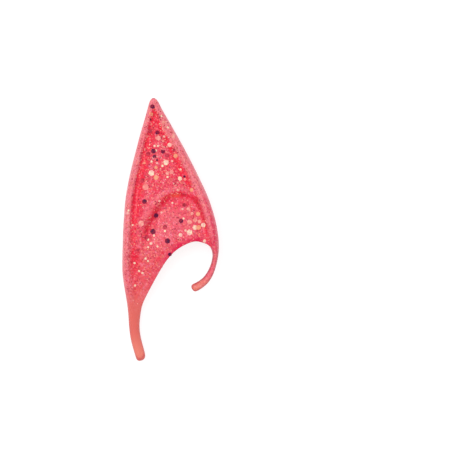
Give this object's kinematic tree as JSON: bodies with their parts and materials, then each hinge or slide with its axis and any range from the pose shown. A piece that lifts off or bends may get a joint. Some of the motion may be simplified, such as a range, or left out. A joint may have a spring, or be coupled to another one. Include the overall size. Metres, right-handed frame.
{
  "type": "elf ear tip",
  "caption": "Slip-on pointed ear tip: a hollow latex shell with a rolled rim, an inner fold, a long tail and a curled hook, flecked with glitter.",
  "frame": {"origin": "on the surface that the ear tip lies on, under the middle of its outline", "axes": "+Y from the tail's end to the point, +X to the side of the hook, +Z out of the sculpted face"},
  "size_m": [0.0386, 0.1052, 0.0145],
  "materials": {
    "latex": "satin coral pink latex, deeper crimson in the grooves and salmon on the tail and the hook",
    "glitter_pearl": "pearl white film flakes",
    "glitter_gold": "pale gold film flakes",
    "glitter_peach": "translucent peach film flakes",
    "glitter_navy": "dark blue-purple film flakes",
    "glitter_mauve": "translucent mauve film flakes"
  },
  "bodies": {
    "root": {"ear_shell": "latex"}
  },
  "joints": []
}
